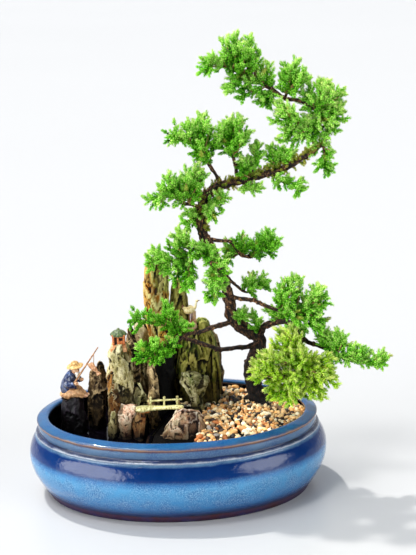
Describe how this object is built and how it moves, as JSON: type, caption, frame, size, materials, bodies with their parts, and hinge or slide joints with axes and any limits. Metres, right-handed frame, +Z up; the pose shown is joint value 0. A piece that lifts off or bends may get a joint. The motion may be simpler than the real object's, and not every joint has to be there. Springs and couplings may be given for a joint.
{
  "type": "juniper bonsai in a land-and-water pot",
  "caption": "Windswept juniper bonsai in an oval blue glazed pot with upright rocks, gravel, a dark pool, a fisherman, a footbridge, a pavilion and a crane.",
  "frame": {"origin": "middle of the pot's flat underside", "axes": "+Z up, +X to the right along the pot's length, +Y to the back"},
  "size_m": [0.3616, 0.212, 0.4492],
  "materials": {
    "pot_glaze": "gloss",
    "pool_water": "gloss",
    "soil": "matt",
    "gravel": "matt",
    "rock_olive": "matt",
    "rock_dark": "matt",
    "rock_pale": "matt",
    "rock_brown": "matt",
    "rock_pink": "matt",
    "bark": "matt",
    "foliage": "satin",
    "bridge_clay": "satin",
    "pavilion_glaze": "gloss",
    "crane_clay": "satin",
    "figure_glaze": "gloss",
    "rod_wood": "matt",
    "fish_clay": "satin"
  },
  "bodies": {
    "root": {"pot": "pot_glaze", "water": "pool_water", "soil": "soil", "gravel": "gravel", "rock_tall_peak": "rock_olive", "rock_back_slab": "rock_dark", "rock_right_rock": "rock_olive", "rock_right_rock_back": "rock_brown", "rock_boot_stone": "rock_olive", "rock_left_pillar": "rock_pale", "rock_small_left": "rock_brown", "rock_seat_rock": "rock_dark", "rock_brown_back": "rock_brown", "rock_cream_back": "rock_pale", "rock_middle_left": "rock_olive", "rock_middle_right": "rock_pale", "rock_middle_front": "rock_olive", "rock_flat_pink": "rock_pink", "rock_post_stone": "rock_brown", "rock_thin_left": "rock_brown", "rock_bridge_stone": "rock_pink", "bridge": "bridge_clay", "house": "pavilion_glaze", "crane": "crane_clay", "fisherman": "figure_glaze", "fishing_rod": "rod_wood", "fish": "fish_clay", "juniper_wood": "bark", "foliage_crown_tip": "foliage", "foliage_crown_middle": "foliage", "foliage_crown_right": "foliage", "foliage_crown_inner": "foliage", "foliage_crown_hanging": "foliage", "foliage_under_right": "foliage", "foliage_under_middle": "foliage", "foliage_top_left": "foliage", "foliage_top_right": "foliage", "foliage_upper_left": "foliage", "foliage_upper_right": "foliage", "foliage_left": "foliage", "foliage_tuft_left": "foliage", "foliage_tuft_right": "foliage", "foliage_big_left": "foliage", "foliage_centre": "foliage", "foliage_right_small": "foliage", "foliage_right_small_inner": "foliage", "foliage_right_thin": "foliage", "foliage_right_pad": "foliage", "foliage_fork_pad": "foliage", "foliage_far_right": "foliage", "foliage_bush": "foliage", "foliage_low_left_back": "foliage", "foliage_low_left_front": "foliage", "foliage_shoot_high": "foliage", "foliage_shoot_low": "foliage"}
  },
  "joints": []
}
